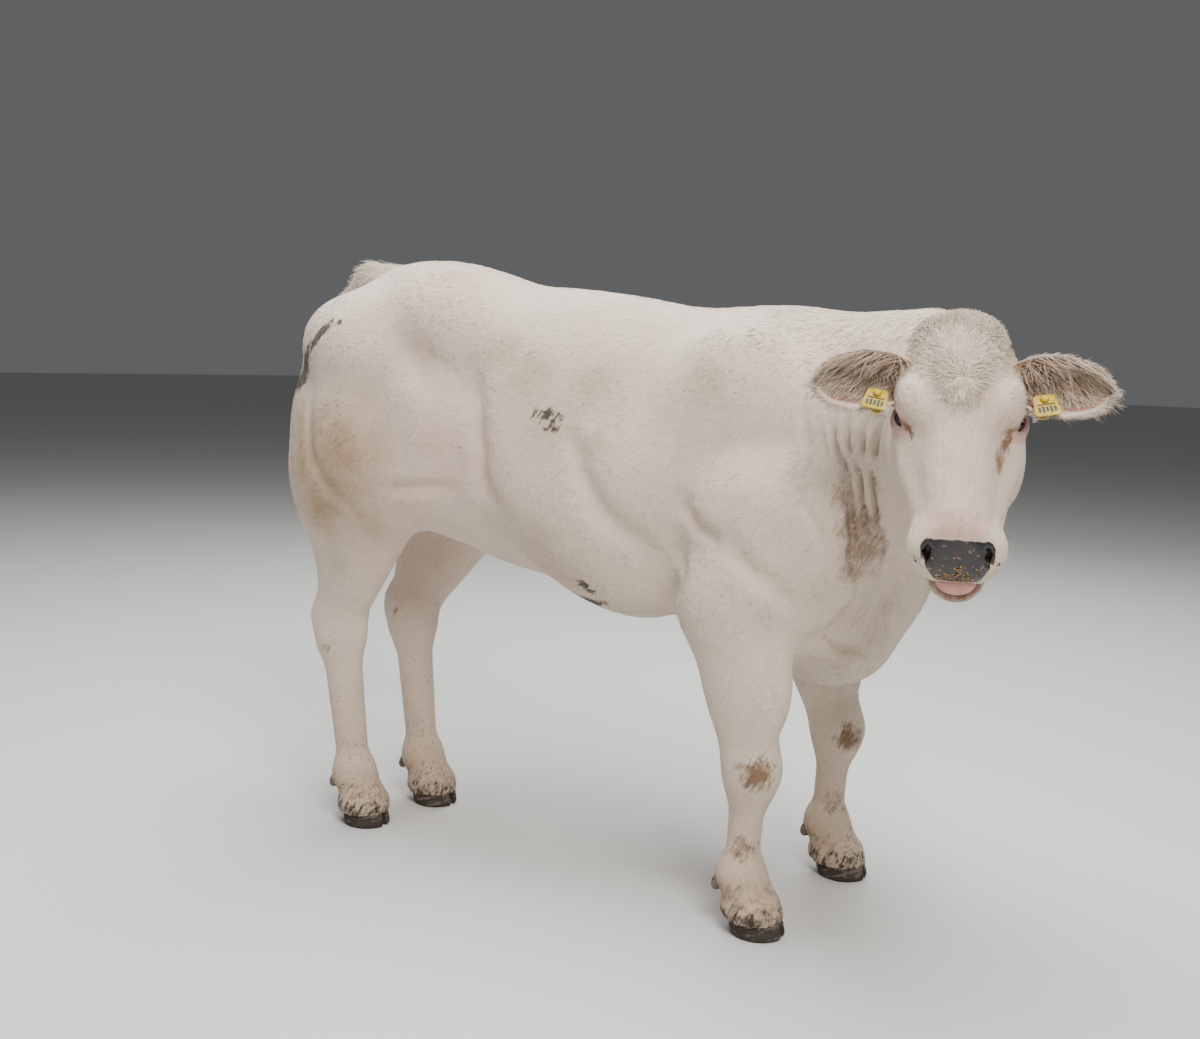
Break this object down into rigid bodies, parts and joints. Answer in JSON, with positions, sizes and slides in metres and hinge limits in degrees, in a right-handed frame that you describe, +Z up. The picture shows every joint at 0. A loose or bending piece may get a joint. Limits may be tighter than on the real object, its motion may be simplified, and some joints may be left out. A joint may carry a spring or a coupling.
{
  "type": "standing double-muscled cow",
  "caption": "White double-muscled beef heifer, life size, standing square with its head turned to its right, ears out, tongue tip showing, tail hanging.",
  "frame": {"origin": "centre of the bounding box in plan, on the floor under the feet", "axes": "+X forward along the trunk, +Y to the animal's left, +Z up"},
  "size_m": [1.9452, 0.7706, 1.3536],
  "materials": {
    "coat": "short cream-white hair, matt, with pink skin faintly through it",
    "head_coat": "short cream hair, wavy and tan on the forehead, dark grey wet nose",
    "eyeball": "dark brown, wet, glossy",
    "tongue": "pink, moist",
    "horn": "grey-brown claw horn, ringed and muddy",
    "ear_tag": "yellow plastic with a plain dark bar",
    "tail_hair": "long coarse cream hair in locks"
  },
  "bodies": {
    "root": {"ear_left": "coat", "ear_right": "coat", "ear_tag_left": "ear_tag", "ear_tag_right": "ear_tag", "eye_left": "eyeball", "eye_right": "eyeball", "fore_left_inner_claw": "horn", "fore_left_inner_dewclaw": "horn", "fore_left_lower_leg": "coat", "fore_left_outer_claw": "horn", "fore_left_outer_dewclaw": "horn", "fore_left_upper_leg": "coat", "fore_right_inner_claw": "horn", "fore_right_inner_dewclaw": "horn", "fore_right_lower_leg": "coat", "fore_right_outer_claw": "horn", "fore_right_outer_dewclaw": "horn", "fore_right_upper_leg": "coat", "head": "head_coat", "hind_left_inner_claw": "horn", "hind_left_inner_dewclaw": "horn", "hind_left_lower_leg": "coat", "hind_left_outer_claw": "horn", "hind_left_outer_dewclaw": "horn", "hind_left_upper_leg": "coat", "hind_right_inner_claw": "horn", "hind_right_inner_dewclaw": "horn", "hind_right_lower_leg": "coat", "hind_right_outer_claw": "horn", "hind_right_outer_dewclaw": "horn", "hind_right_upper_leg": "coat", "neck": "coat", "tail_lower": "coat", "tail_switch": "tail_hair", "tail_upper": "coat", "tongue": "tongue", "torso": "coat"}
  },
  "joints": []
}
